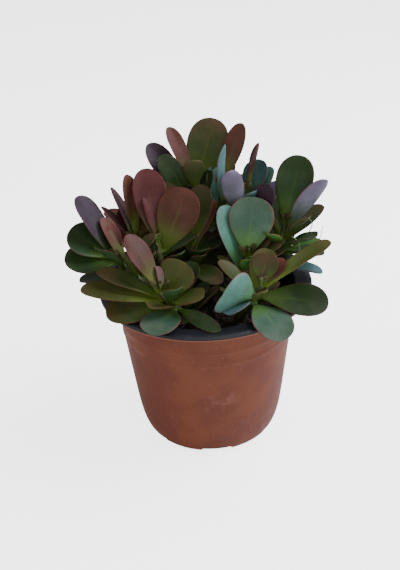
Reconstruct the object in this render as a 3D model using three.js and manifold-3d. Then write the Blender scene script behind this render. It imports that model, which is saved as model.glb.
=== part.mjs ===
// Potted trailing jade: a young succulent with fleshy obovate leaves on a dozen
// short stems, growing in a thermoformed 12 cm nursery pot with a wide flat rim.
// Millimetres, +Z up. The origin is the centre of the pot's base, which stands on z = 0.
import * as THREE from "three";
import { mergeVertices } from "three/addons/utils/BufferGeometryUtils.js";
import Module from "manifold-3d";

const wasm = await Module();
wasm.setup();

// ---------------------------------------------------------------- driving sizes
const POT_HEIGHT = 92;
const RIM_RADIUS = 60;
const RIM_INNER_RADIUS = 50.4;
const RIM_THICKNESS = 1.2;
const LIP_DROP = 2.6;
const WALL = 1.2;
const FLOOR = 3;
const POT_FACETS = 48;

const DRAIN_COUNT = 6;
const DRAIN_HOLE_RADIUS = 3.5;
const DRAIN_HOLE_CIRCLE = 25;
const NOTCH_HEIGHT = 1.8;
const NOTCH_WIDTH = 17;
const NOTCH_INNER_RADIUS = 32;
const NOTCH_TURN = -86.5;

const SOIL_TOP = 80;
const SOIL_DISH = 2.5;
const GAP = 0.3;

const STEM_SIDES = 8;
const STEM_STEPS = 10;
const STEM_FOOT_RADIUS = 3.4;
const STEM_TIP_RADIUS = 1.9;
const STEM_DOME = 0.08;

const LEAF_SIDES = 8;
const LEAF_RINGS = 9;
const LEAF_WIDEST = 0.64;
const LEAF_FOOT = 0.17;
const LEAF_SWELL = 1.25;
const LEAF_THICKNESS = 2.6;
const UPPER_SHARE = 0.35;
const LOWER_SHARE = 0.65;

// The outer face of the pot's wall, from the rounded foot to the underside of the rim.
const WALL_OUTSIDE = [
  [39.7, 3],
  [42.3, 12],
  [44.0, 25],
  [46.4, 45],
  [49.3, 70],
];
const FOOT_RADIUS = 38.6;
const WALL_TOP_RADIUS = RIM_INNER_RADIUS + WALL;

// ---------------------------------------------------------------- finishes
function finish(color, roughness) {
  return new THREE.MeshStandardMaterial({ color, roughness, metalness: 0 });
}

const POT_FINISH = finish(0xa2604a, 0.6);
const SOIL_FINISH = finish(0x2c221c, 0.95);
const STEM_FINISH = finish(0x6d7a3c, 0.6);
const LEAF_FINISHES = {
  green: finish(0x4f6a35, 0.45),
  olive: finish(0x66703a, 0.45),
  bronze: finish(0x7b4f42, 0.45),
  glaucous: finish(0x7fa597, 0.55),
  lilac: finish(0x9a86a6, 0.55),
};

// ---------------------------------------------------------------- solids
// A closed three.js geometry as a manifold solid: only its positions matter.
function toSolid(geometry) {
  const bare = geometry.clone();
  bare.deleteAttribute("normal");
  bare.deleteAttribute("uv");
  const welded = mergeVertices(bare, 1e-4);
  return new wasm.Manifold(new wasm.Mesh({
    numProp: 3,
    vertProperties: new Float32Array(welded.attributes.position.array),
    triVerts: new Uint32Array(welded.index.array),
  }));
}

function toGeometry(solid) {
  const mesh = solid.getMesh();
  const geometry = new THREE.BufferGeometry();
  geometry.setAttribute("position", new THREE.BufferAttribute(mesh.vertProperties, 3));
  geometry.setIndex(new THREE.BufferAttribute(mesh.triVerts, 1));
  geometry.computeVertexNormals();
  return geometry;
}

// A profile of [radius, height] points, turned about the Z axis.
function turned(profile, facets) {
  const points = profile.map(([radius, height]) => new THREE.Vector2(radius, height));
  return new THREE.LatheGeometry(points, facets).rotateX(Math.PI / 2);
}

function radians(degrees) {
  return THREE.MathUtils.degToRad(degrees);
}

// ---------------------------------------------------------------- pot
function potProfile() {
  const inside = WALL_OUTSIDE.map(([radius, height]) => [radius - WALL, height]);
  inside[0] = [FOOT_RADIUS - WALL, FLOOR];
  return [
    [0, 0],
    [FOOT_RADIUS, 0],
    ...WALL_OUTSIDE,
    [WALL_TOP_RADIUS, POT_HEIGHT - RIM_THICKNESS],
    [RIM_RADIUS - WALL, POT_HEIGHT - RIM_THICKNESS],
    [RIM_RADIUS - WALL, POT_HEIGHT - LIP_DROP],
    [RIM_RADIUS, POT_HEIGHT - LIP_DROP],
    [RIM_RADIUS, POT_HEIGHT],
    [RIM_INNER_RADIUS, POT_HEIGHT],
    ...inside.reverse(),
    [0, FLOOR],
  ];
}

// Six shallow notches under the foot let water out, with a hole inside each.
function potGeometry() {
  let pot = toSolid(turned(potProfile(), POT_FACETS));
  for (let index = 0; index < DRAIN_COUNT; index += 1) {
    const turn = radians(NOTCH_TURN + (index * 360) / DRAIN_COUNT);
    const reach = RIM_RADIUS - NOTCH_INNER_RADIUS;
    const notch = new THREE.BoxGeometry(reach, NOTCH_WIDTH, 2 * NOTCH_HEIGHT);
    notch.translate(NOTCH_INNER_RADIUS + reach / 2, 0, 0).rotateZ(turn);
    const hole = new THREE.CylinderGeometry(DRAIN_HOLE_RADIUS, DRAIN_HOLE_RADIUS, 4 * FLOOR, 12);
    hole.rotateX(Math.PI / 2).translate(DRAIN_HOLE_CIRCLE, 0, 0).rotateZ(turn);
    pot = pot.subtract(toSolid(notch)).subtract(toSolid(hole));
  }
  return toGeometry(pot);
}

// ---------------------------------------------------------------- potting mix
// Fills the pot to just under the rim, a little dished, so that there is room to water.
function soilProfile() {
  const inside = WALL_OUTSIDE.slice(1).map(([radius, height]) => [radius - WALL - GAP, height]);
  const edge = inside[inside.length - 1][0] + 1;
  return [
    [0, FLOOR + GAP],
    [FOOT_RADIUS - WALL - 2 * GAP, FLOOR + GAP],
    ...inside,
    [edge, SOIL_TOP],
    [edge * 0.6, SOIL_TOP - SOIL_DISH],
    [0, SOIL_TOP - SOIL_DISH],
  ];
}

// ---------------------------------------------------------------- stems
// Each stem rises from the mix through the points of its route, foot first.
const STEMS = {
  front_left: [[-4, -20, 60], [-10, -27, 82], [-19, -31, 96], [-24, -33, 104]],
  left: [[-18, -12, 60], [-24, -18, 86], [-37, -16, 104], [-49, -10, 114]],
  upper_left: [[-18, 10, 60], [-27, 9, 84], [-34, 7, 102], [-38, 6, 115]],
  centre_left: [[-12, -2, 60], [-19, -4, 86], [-24, -4, 106], [-26, -2, 118]],
  centre: [[-5, 8, 60], [-7, 6, 88], [-7, 5, 104], [-7, 5, 112]],
  back: [[-3, 24, 60], [-4, 31, 96], [-4, 34, 122], [-4, 35, 137]],
  centre_back: [[5, 14, 60], [8, 20, 92], [11, 25, 116], [12, 28, 137]],
  back_right: [[14, 10, 60], [20, 16, 94], [24, 19, 118], [25, 21, 136]],
  centre_right: [[9, -3, 60], [16, -6, 86], [22, -8, 102], [24, -8, 110]],
  right: [[24, 4, 60], [34, 4, 90], [43, 5, 110], [46, 7, 122]],
  front_right: [[12, -16, 60], [19, -25, 84], [26, -31, 98], [30, -32, 105]],
  rear_left: [[-14, 24, 60], [-21, 31, 84], [-28, 37, 99], [-33, 41, 108]],
  rear_right: [[16, 27, 60], [20, 33, 84], [26, 39, 99], [31, 43, 108]],
};

function stemCurve(route) {
  return new THREE.CatmullRomCurve3(route.map((point) => new THREE.Vector3(...point)));
}

function stemRadius(along) {
  const taper = THREE.MathUtils.lerp(STEM_FOOT_RADIUS, STEM_TIP_RADIUS, along);
  const dome = Math.max(0, (along - 1 + STEM_DOME) / STEM_DOME);
  return taper * Math.sqrt(1 - 0.7 * dome * dome);
}

// A cylinder's rings laid along the stem's curve, "extra" thicker all round.
function stemGeometry(route, extra = 0) {
  const curve = stemCurve(route);
  const frames = curve.computeFrenetFrames(STEM_STEPS, false);
  const geometry = new THREE.CylinderGeometry(1, 1, 1, STEM_SIDES, STEM_STEPS);
  const position = geometry.attributes.position;
  const point = new THREE.Vector3();
  for (let index = 0; index < position.count; index += 1) {
    point.fromBufferAttribute(position, index);
    const step = Math.round((point.y + 0.5) * STEM_STEPS);
    const along = step / STEM_STEPS;
    const radius = stemRadius(along) + extra;
    const across = frames.normals[step].clone().multiplyScalar(-point.x * radius);
    const beside = frames.binormals[step].clone().multiplyScalar(point.z * radius);
    const placed = curve.getPointAt(along).add(across).add(beside);
    position.setXYZ(index, placed.x, placed.y, placed.z);
  }
  return geometry;
}

// ---------------------------------------------------------------- leaves
// Half of the leaf's width over its greatest: a narrow foot, a slow swell, a round tip.
function leafOutline(along) {
  if (along < LEAF_WIDEST) {
    const rise = Math.sin((Math.PI / 2) * (along / LEAF_WIDEST));
    return LEAF_FOOT + (1 - LEAF_FOOT) * rise ** LEAF_SWELL;
  }
  const past = (along - LEAF_WIDEST) / (1 - LEAF_WIDEST);
  return Math.sqrt(Math.max(0, 1 - past ** 2.3));
}

function leafThickness(along) {
  const foot = 1 - 0.15 * along;
  const ends = Math.sin(Math.PI * Math.min(1, Math.max(0, along))) ** 0.35;
  return LEAF_THICKNESS * foot * ends;
}

// A leaf lies along +X from its foot, upper face to +Z. "bend" is how far, in degrees,
// its tip points below its foot's heading; "cup" lifts its edges, in millimetres.
function leafGeometry({ length, width, bend = 15, cup = 1.5 }, extra = 0) {
  const arc = radians(bend === 0 ? 1 : bend);
  const reach = length + extra;
  const geometry = new THREE.SphereGeometry(1, LEAF_SIDES, LEAF_RINGS);
  const position = geometry.attributes.position;
  const point = new THREE.Vector3();
  for (let index = 0; index < position.count; index += 1) {
    point.fromBufferAttribute(position, index);
    const along = (1 - point.y) / 2;
    const ring = Math.hypot(point.x, point.z);
    const side = ring > 1e-6 ? point.x / ring : 0;
    const face = ring > 1e-6 ? point.z / ring : 0;
    const half = (leafOutline(along) * width) / 2 + extra;
    const share = face > 0 ? UPPER_SHARE : LOWER_SHARE;
    const lift = face * (share * leafThickness(along) + extra) + cup * side * side * leafOutline(along);
    const heading = arc * (0.5 - along);
    const forward = (reach / arc) * (Math.sin(arc / 2) - Math.sin(heading));
    const rise = (reach / arc) * (Math.cos(heading) - Math.cos(arc / 2));
    position.setXYZ(
      index,
      forward - (ring > 1e-6 ? lift * Math.sin(heading) : 0),
      ring > 1e-6 ? half * side : 0,
      rise + (ring > 1e-6 ? lift * Math.cos(heading) : 0),
    );
  }
  return geometry;
}

// Leaves by stem, counted from the tip down: "below" is how far the foot sits below the
// stem's tip, "turn" the compass heading from +X towards +Y, "rise" the slope of the leaf,
// "roll" its lean about its own length. Lengths in millimetres, angles in degrees.
const LEAVES = {
  front_left: [
    { below: 3, turn: 148, rise: 56, length: 34, width: 16, roll: 0, tint: "olive" },
    { below: 6, turn: 28, rise: 58, length: 20, width: 22, roll: 30, tint: "olive" },
    { below: 8, turn: -178, rise: 13, length: 43, width: 17, roll: -10, tint: "olive" },
    { below: 12, turn: -172, rise: 0, length: 32, width: 22, roll: -15, tint: "green" },
  ],
  left: [
    { below: 1, turn: 158, rise: 60, length: 38, width: 20, roll: 0, tint: "lilac" },
    { below: 3, turn: 172, rise: 38, length: 26, width: 23, roll: -20, tint: "green" },
    { below: 6, turn: -172, rise: 24, length: 26, width: 20, roll: -25, tint: "green" },
  ],
  upper_left: [
    { below: 2, turn: 140, rise: 62, length: 32, width: 13, roll: 35, tint: "olive" },
    { below: 3, turn: 112, rise: 66, length: 36, width: 12, roll: 25, tint: "bronze" },
  ],
  centre_left: [
    { below: 2, turn: 103, rise: 61, length: 40, width: 19, roll: 0, tint: "bronze" },
    { below: 11, turn: 30, rise: 63, length: 36, width: 24, roll: 35, tint: "bronze" },
  ],
  centre: [
    { below: 2, turn: 58, rise: 65, length: 33, width: 18, roll: 0, tint: "bronze" },
  ],
  back: [
    { below: 2, turn: 150, rise: 65, length: 34, width: 11, roll: -20, tint: "bronze" },
    { below: 4, turn: 43, rise: 64, length: 39, width: 24, roll: 40, tint: "olive" },
    { below: 9, turn: -80, rise: 80, length: 19, width: 13, roll: 0, tint: "bronze" },
    { below: 13, turn: -172, rise: 70, length: 32, width: 14, roll: -70, tint: "green" },
    { below: 17, turn: 172, rise: 58, length: 43, width: 16, roll: -40, tint: "lilac" },
  ],
  centre_back: [
    { below: 2, turn: 38, rise: 66, length: 36, width: 12, roll: 20, tint: "bronze" },
    { below: 14, turn: -80, rise: 74, length: 38, width: 12, roll: 60, tint: "glaucous" },
    { below: 25, turn: 115, rise: 66, length: 27, width: 10, roll: 60, tint: "glaucous" },
  ],
  back_right: [
    { below: 2, turn: 47, rise: 66, length: 27, width: 11, roll: -45, tint: "bronze" },
    { below: 9, turn: 45, rise: 60, length: 23, width: 17, roll: 0, tint: "glaucous" },
    { below: 14, turn: 25, rise: 58, length: 26, width: 17, roll: 0, tint: "glaucous" },
    { below: 22, turn: -135, rise: 84, length: 33, width: 13, roll: 60, tint: "lilac" },
    { below: 26, turn: -25, rise: 72, length: 30, width: 16, roll: 70, tint: "bronze" },
  ],
  centre_right: [
    { below: 3, turn: 70, rise: 62, length: 32, width: 25, roll: 12, tint: "green" },
    { below: 13, turn: 124, rise: 66, length: 37, width: 17, roll: 0, tint: "glaucous" },
  ],
  right: [
    { below: 2, turn: 50, rise: 67, length: 37, width: 21, roll: 20, tint: "green" },
    { below: 8, turn: -2, rise: 66, length: 36, width: 17, roll: -50, tint: "lilac" },
    { below: 12, turn: 15, rise: 37, length: 28, width: 16, roll: 0, tint: "olive" },
    { below: 19, turn: 2, rise: 10, length: 24, width: 16, roll: 0, tint: "green" },
  ],
  front_right: [
    { below: 3, turn: 59, rise: 58, length: 16, width: 16, roll: 0, tint: "olive" },
    { below: 3, turn: 8, rise: 32, length: 41, width: 13, roll: 0, tint: "olive" },
    { below: 7, turn: -18, rise: -2, length: 36, width: 21, roll: 22, tint: "green" },
    { below: 7, turn: -132, rise: 24, length: 28, width: 26, roll: 70, tint: "glaucous" },
    { below: 12, turn: -66, rise: -20, length: 31, width: 21, roll: 0, bend: 45, tint: "green" },
  ],
  rear_left: [
    { below: 2, turn: 80, rise: 55, length: 28, width: 19, roll: 0, tint: "green" },
    { below: 5, turn: 172, rise: 26, length: 28, width: 17, roll: 0, tint: "bronze" },
    { below: 9, turn: 110, rise: 20, length: 33, width: 20, roll: 0, tint: "olive" },
    { below: 13, turn: 145, rise: -6, length: 29, width: 17, roll: 0, tint: "green" },
  ],
  rear_right: [
    { below: 2, turn: 100, rise: 55, length: 28, width: 19, roll: 0, tint: "green" },
    { below: 5, turn: 20, rise: 32, length: 32, width: 19, roll: 0, tint: "glaucous" },
    { below: 9, turn: 70, rise: 20, length: 34, width: 21, roll: 0, tint: "green" },
    { below: 13, turn: 25, rise: -5, length: 29, width: 17, roll: 0, tint: "green" },
    { below: 15, turn: 120, rise: 5, length: 27, width: 17, roll: 0, tint: "green" },
  ],
};

// Where a leaf's foot meets its stem, "out" further along the leaf's own heading.
function leafPlacement(route, leaf, shift) {
  const curve = stemCurve(route);
  const along = Math.max(0, 1 - leaf.below / curve.getLength());
  const turn = radians(leaf.turn + shift.turn);
  const rise = radians(leaf.rise + shift.rise);
  const roll = radians(leaf.roll + shift.roll);
  const heading = new THREE.Vector3(
    Math.cos(rise) * Math.cos(turn),
    Math.cos(rise) * Math.sin(turn),
    Math.sin(rise),
  );
  const foot = curve.getPointAt(along);
  foot.addScaledVector(heading, stemRadius(along) + GAP + shift.out);
  const turned = new THREE.Quaternion().setFromAxisAngle(new THREE.Vector3(0, 0, 1), turn);
  const raised = new THREE.Quaternion().setFromAxisAngle(new THREE.Vector3(0, 1, 0), -rise);
  const rolled = new THREE.Quaternion().setFromAxisAngle(new THREE.Vector3(1, 0, 0), roll);
  return { foot, facing: turned.multiply(raised).multiply(rolled) };
}

// The small moves tried, mildest first, when a leaf would grow into a neighbour.
const SHIFTS = [];
for (const out of [0, 1.5, 3, 5]) {
  for (const rise of [0, 3, -3, 6, -6, 10, -10]) {
    for (const turn of [0, 3, -3, 6, -6, 10, -10]) {
      for (const roll of [0, 8, -8, 16, -16]) {
        const cost = out * 1.5 + Math.abs(rise) + Math.abs(turn) + Math.abs(roll) * 0.4;
        SHIFTS.push({ out, rise, turn, roll, cost });
      }
    }
  }
}
SHIFTS.sort((first, second) => first.cost - second.cost);

function boxesMeet(one, other) {
  return [0, 1, 2].every((axis) => one.min[axis] < other.max[axis] && other.min[axis] < one.max[axis]);
}

function isClear(solid, neighbours) {
  const box = solid.boundingBox();
  return neighbours.every((neighbour) => !boxesMeet(box, neighbour.box)
    || solid.intersect(neighbour.solid).isEmpty());
}

// Sets a leaf against its stem, leaning it just enough to keep clear of what grows there.
function growLeaf(name, route, leaf, neighbours) {
  const mesh = new THREE.Mesh(leafGeometry(leaf), LEAF_FINISHES[leaf.tint]);
  mesh.name = name;
  const roomy = leafGeometry(leaf, GAP);
  for (const shift of SHIFTS) {
    const { foot, facing } = leafPlacement(route, leaf, shift);
    mesh.position.copy(foot);
    mesh.quaternion.copy(facing);
    mesh.updateMatrix();
    if (isClear(toSolid(roomy.clone().applyMatrix4(mesh.matrix)), neighbours)) {
      break;
    }
  }
  const solid = toSolid(mesh.geometry.clone().applyMatrix4(mesh.matrix));
  neighbours.push({ solid, box: solid.boundingBox() });
  return mesh;
}

// ---------------------------------------------------------------- assembly
const plant = new THREE.Group();
const neighbours = [];

function addMesh(name, geometry, material) {
  const mesh = new THREE.Mesh(geometry, material);
  mesh.name = name;
  plant.add(mesh);
  const solid = toSolid(geometry);
  neighbours.push({ solid, box: solid.boundingBox() });
}

addMesh("pot", potGeometry(), POT_FINISH);

let mix = toSolid(turned(soilProfile(), POT_FACETS));
for (const route of Object.values(STEMS)) {
  mix = mix.subtract(toSolid(stemGeometry(route, GAP)));
}
addMesh("potting_mix", toGeometry(mix), SOIL_FINISH);

for (const [stem, route] of Object.entries(STEMS)) {
  addMesh(`stem_${stem}`, stemGeometry(route), STEM_FINISH);
}

for (const [stem, leaves] of Object.entries(LEAVES)) {
  leaves.forEach((leaf, index) => {
    plant.add(growLeaf(`leaf_${stem}_${index + 1}`, STEMS[stem], leaf, neighbours));
  });
}

export default plant;
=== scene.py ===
"""The looks of a potted trailing jade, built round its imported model. Metres, +Z up.

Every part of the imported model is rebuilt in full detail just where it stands: the nursery
pot, the potting mix, the stems and the large leaves. Young leaves, leaves low in the
crown, buds at the stems' tips, threads and crumbs of mix are then added to them.
"""

import logging
import math
from collections.abc import Callable
from dataclasses import dataclass, field
from enum import Enum
from functools import cache
from random import Random

import bpy
import numpy as np
from mathutils import Matrix, Vector, noise


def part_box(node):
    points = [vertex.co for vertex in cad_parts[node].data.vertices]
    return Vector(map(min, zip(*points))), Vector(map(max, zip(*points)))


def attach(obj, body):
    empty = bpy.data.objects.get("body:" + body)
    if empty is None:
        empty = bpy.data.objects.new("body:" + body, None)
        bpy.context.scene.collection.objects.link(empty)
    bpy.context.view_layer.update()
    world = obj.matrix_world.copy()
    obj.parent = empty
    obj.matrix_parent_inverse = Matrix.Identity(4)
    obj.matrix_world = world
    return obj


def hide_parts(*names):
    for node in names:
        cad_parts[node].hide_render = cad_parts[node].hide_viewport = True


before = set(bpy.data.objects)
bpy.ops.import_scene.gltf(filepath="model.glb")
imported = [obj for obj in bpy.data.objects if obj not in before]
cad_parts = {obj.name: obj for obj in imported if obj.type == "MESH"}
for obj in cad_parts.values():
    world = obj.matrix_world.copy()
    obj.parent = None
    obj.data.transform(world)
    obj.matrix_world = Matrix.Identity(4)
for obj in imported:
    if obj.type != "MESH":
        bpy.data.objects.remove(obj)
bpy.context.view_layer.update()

log = logging.getLogger("jade")

MM = 0.001
BODY = "root"
WELD = 1e-6
POLE_EDGES = 8
RGBA = tuple[float, float, float, float]
Socket = bpy.types.NodeSocket


# ------------------------------------------------------------------------ colour
def paint(code: str) -> RGBA:
    """Turn a display colour into the linear colour that a shader takes.

    Args:
        code: The colour as six hexadecimal digits.

    Returns:
        Red, green, blue and a full alpha.
    """
    shades = [int(code[place : place + 2], 16) / 255 for place in (0, 2, 4)]
    linear = [s / 12.92 if s <= 0.04045 else ((s + 0.055) / 1.055) ** 2.4 for s in shades]
    return (linear[0], linear[1], linear[2], 1.0)


# ------------------------------------------------------------------------ shader graphs
class Graph:
    """A node tree with short ways to place and join the nodes that the finishes use."""

    def __init__(self, tree: bpy.types.NodeTree) -> None:
        """Keep the tree that the nodes go in."""
        self.tree = tree

    def node(self, kind: str, inputs: dict[str | int, object], **settings: object) -> bpy.types.Node:
        """Add a node.

        Args:
            kind: The node's type name.
            inputs: What each input is: a socket to join to it, or a plain value.
            settings: The node's own properties.

        Returns:
            The new node.
        """
        made = self.tree.nodes.new(kind)
        for key, value in settings.items():
            setattr(made, key, value)
        for key, value in inputs.items():
            if isinstance(value, bpy.types.NodeSocket):
                self.tree.links.new(value, made.inputs[key])
            else:
                made.inputs[key].default_value = value
        return made

    def math(self, operation: str, first: object, second: object = 0.5) -> Socket:
        """Join two values by one operation of the Math node."""
        return self.node("ShaderNodeMath", {0: first, 1: second}, operation=operation).outputs[0]

    def mix(self, share: object, first: object, second: object, blend: str = "MIX") -> Socket:
        """Blend two colours, "share" of the way to the second."""
        inputs = {0: share, 6: first, 7: second}
        return self.node("ShaderNodeMix", inputs, data_type="RGBA", blend_type=blend).outputs[2]

    def span(self, value: object, start: float, end: float, low: float = 0.0, high: float = 1.0) -> Socket:
        """Ease a value that runs from start to end into one from low to high, and hold it outside.

        Args:
            value: The value that varies over the surface.
            start: Where the result is low.
            end: Where the result is high.
            low: The result at the start.
            high: The result at the end.

        Returns:
            The eased value.
        """
        inputs = {"Value": value, "From Min": start, "From Max": end, "To Min": low, "To Max": high}
        return self.node("ShaderNodeMapRange", inputs, interpolation_type="SMOOTHSTEP").outputs[0]

    def attribute(self, name: str) -> Socket:
        """Read a number kept on the mesh."""
        return self.node("ShaderNodeAttribute", {}, attribute_name=name).outputs["Fac"]

    def place(self) -> Socket:
        """Read the place of the surface in the object's own space."""
        return self.node("ShaderNodeTexCoord", {}).outputs["Object"]

    def noise(self, scale: object, detail: float = 3.0, vector: Socket | None = None) -> Socket:
        """Add soft noise, a value about 0.5, with "scale" waves to the metre."""
        inputs = {"Vector": vector or self.place(), "Scale": scale, "Detail": detail}
        return self.node("ShaderNodeTexNoise", inputs).outputs[0]


class EffectGroup:
    """A shader node group that several finishes place, each with its own values."""

    def __init__(self, name: str, inputs: dict[str, object], outputs: dict[str, str]) -> None:
        """Make the group with its named sockets.

        Args:
            name: The group's name.
            inputs: Each input's default, a number or a colour.
            outputs: Each output's socket type.
        """
        self.tree = bpy.data.node_groups.new(name, "ShaderNodeTree")
        self.graph = Graph(self.tree)
        for label, value in inputs.items():
            kind = "NodeSocketFloat" if isinstance(value, float) else "NodeSocketColor"
            socket = self.tree.interface.new_socket(label, in_out="INPUT", socket_type=kind)
            socket.default_value = value
        for label, kind in outputs.items():
            self.tree.interface.new_socket(label, in_out="OUTPUT", socket_type=kind)
        self.given = self.tree.nodes.new("NodeGroupInput").outputs
        self.result = self.tree.nodes.new("NodeGroupOutput").inputs

    def put_out(self, label: str, socket: Socket) -> None:
        """Join a socket to one of the group's outputs."""
        self.tree.links.new(socket, self.result[label])

    def placed(self, graph: Graph, inputs: dict[str | int, object]) -> bpy.types.Node:
        """Place the group in a material's graph."""
        return graph.node("ShaderNodeGroup", inputs, node_tree=self.tree)


@cache
def grain_group() -> EffectGroup:
    """Build the fine unevenness that every finish has: a height and a mask."""
    group = EffectGroup(
        "surface_grain",
        {"Scale": 400.0, "Coarse": 60.0},
        {"Height": "NodeSocketFloat", "Patches": "NodeSocketFloat"},
    )
    graph = group.graph
    fine = graph.noise(group.given["Scale"], 4.0)
    patches = graph.noise(group.given["Coarse"], 3.0)
    group.put_out("Height", graph.math("ADD", graph.math("MULTIPLY", fine, 0.35), patches))
    group.put_out("Patches", graph.span(patches, 0.36, 0.66))
    return group


@cache
def dust_group() -> EffectGroup:
    """Build the dust: pale smears and specks laid over a colour."""
    group = EffectGroup(
        "settled_dust",
        {"Surface": paint("808080"), "Dust": paint("c8b8b0"), "Amount": 0.5, "Specks": 0.5},
        {"Color": "NodeSocketColor", "Mask": "NodeSocketFloat"},
    )
    graph = group.graph
    smears = graph.span(graph.noise(38.0, 6.0), 0.50, 0.78)
    wisps = graph.span(graph.noise(170.0, 5.0), 0.45, 0.75)
    specks = graph.span(graph.noise(750.0, 2.0), 0.66, 0.74)
    smeared = graph.math("MULTIPLY", graph.math("MULTIPLY", smears, wisps), group.given["Amount"])
    speckled = graph.math("MULTIPLY", specks, group.given["Specks"])
    mask = graph.math("MAXIMUM", smeared, speckled)
    group.put_out("Color", graph.mix(mask, group.given["Surface"], group.given["Dust"]))
    group.put_out("Mask", mask)
    return group


@cache
def leaf_skin_group() -> EffectGroup:
    """Build a leaf's skin: its face and back, pale heart, tinted tip, rim, midrib and bloom."""
    group = EffectGroup(
        "leaf_skin",
        {
            "Face": paint("4e6349"),
            "Back": paint("6f8a70"),
            "Heart": paint("7c8f3e"),
            "Rim": paint("8a4a48"),
            "Flush": paint("6a4036"),
            "Flush Amount": 0.4,
            "Bloom": 0.2,
        },
        {"Color": "NodeSocketColor", "Roughness": "NodeSocketFloat", "Height": "NodeSocketFloat"},
    )
    graph = group.graph
    given = group.given
    along = graph.attribute("along")
    aside = graph.math("ABSOLUTE", graph.attribute("across"), 0.0)
    side = graph.attribute("side")
    shade = graph.attribute("shade")
    patches = graph.noise(75.0, 4.0)
    flecks = graph.noise(1700.0, 2.0)
    upper = graph.span(side, -0.12, 0.10)

    tipped = graph.span(graph.math("ADD", along, graph.math("MULTIPLY", patches, 0.5)), 0.62, 1.35)
    blushed = graph.math("ADD", tipped, graph.span(patches, 0.5, 0.7, 0.0, 0.5))
    flushed = graph.math("MULTIPLY", blushed, given["Flush Amount"])
    colour = graph.mix(graph.math("MINIMUM", flushed, 1.0), given["Face"], given["Flush"])
    back = graph.mix(graph.math("MULTIPLY", flushed, 0.5), given["Back"], given["Flush"])
    colour = graph.mix(upper, back, colour)

    rib = graph.math("MULTIPLY", graph.span(aside, 0.10, 0.0), graph.span(along, 0.92, 0.35))
    colour = graph.mix(graph.math("MULTIPLY", rib, 0.34), colour, given["Heart"])
    colour = graph.mix(graph.span(along, 0.58, 0.04, 0.0, 0.92), colour, given["Heart"])
    rimmed = graph.math("MULTIPLY", graph.span(aside, 0.90, 0.995), graph.span(along, 0.15, 0.6, 0.15, 0.75))
    colour = graph.mix(rimmed, colour, given["Rim"])

    flecked = graph.span(flecks, 0.40, 0.75, 0.0, 0.45)
    dusted = graph.math("ADD", flecked, graph.span(patches, 0.35, 0.7, 0.1, 0.5))
    powder = graph.math("MULTIPLY", dusted, given["Bloom"])
    colour = graph.mix(powder, colour, paint("86a0a4"))
    value = graph.math("ADD", graph.math("MULTIPLY", shade, 0.20), graph.span(patches, 0.3, 0.7, 0.90, 1.12))
    hue = graph.math("ADD", graph.math("MULTIPLY", shade, 0.012), 0.5)
    inputs = {"Hue": hue, "Value": value, "Color": colour}
    varied = graph.node("ShaderNodeHueSaturation", inputs).outputs[0]
    group.put_out("Color", varied)
    uneven = graph.span(patches, 0.3, 0.7, 0.42, 0.58)
    group.put_out("Roughness", graph.math("ADD", uneven, graph.math("MULTIPLY", powder, 0.4)))
    dimpled = graph.math("ADD", graph.math("MULTIPLY", flecks, 0.12), graph.math("MULTIPLY", patches, 0.5))
    group.put_out("Height", graph.math("SUBTRACT", dimpled, graph.math("MULTIPLY", rib, 0.35)))
    return group


# ------------------------------------------------------------------------ finishes
def new_material(name: str) -> tuple[bpy.types.Material, Graph, bpy.types.Node]:
    """Make a material with one shader in it.

    Args:
        name: The material's name.

    Returns:
        The material, its graph and its Principled BSDF.
    """
    material = bpy.data.materials.new(name)
    material.use_nodes = True
    return material, Graph(material.node_tree), material.node_tree.nodes["Principled BSDF"]


def join(
    graph: Graph, shader: bpy.types.Node, colour: Socket, roughness: Socket, bump: bpy.types.Node
) -> None:
    """Join a finish's colour, roughness and bump to its shader."""
    graph.tree.links.new(colour, shader.inputs["Base Color"])
    graph.tree.links.new(roughness, shader.inputs["Roughness"])
    graph.tree.links.new(bump.outputs[0], shader.inputs["Normal"])


@dataclass(frozen=True)
class LeafFinish:
    """The colours of one kind of leaf, and the name of the record's slot that its material's name begins
    with.
    """

    slot: str
    face: str
    back: str
    heart: str
    rim: str
    flush: str
    flush_amount: float
    bloom: float

    @cache
    def material(self) -> bpy.types.Material:
        """Build the finish's material once."""
        made, graph, shader = new_material(f"{self.slot}_{self.face}")
        inputs = {
            "Face": paint(self.face),
            "Back": paint(self.back),
            "Heart": paint(self.heart),
            "Rim": paint(self.rim),
            "Flush": paint(self.flush),
            "Flush Amount": self.flush_amount,
            "Bloom": self.bloom,
        }
        skin = leaf_skin_group().placed(graph, inputs)
        bump = graph.node(
            "ShaderNodeBump", {"Height": skin.outputs["Height"], "Strength": 0.35, "Distance": 0.0006}
        )
        join(graph, shader, skin.outputs["Color"], skin.outputs["Roughness"], bump)
        shader.inputs["Specular IOR Level"].default_value = 0.13
        return made


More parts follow.
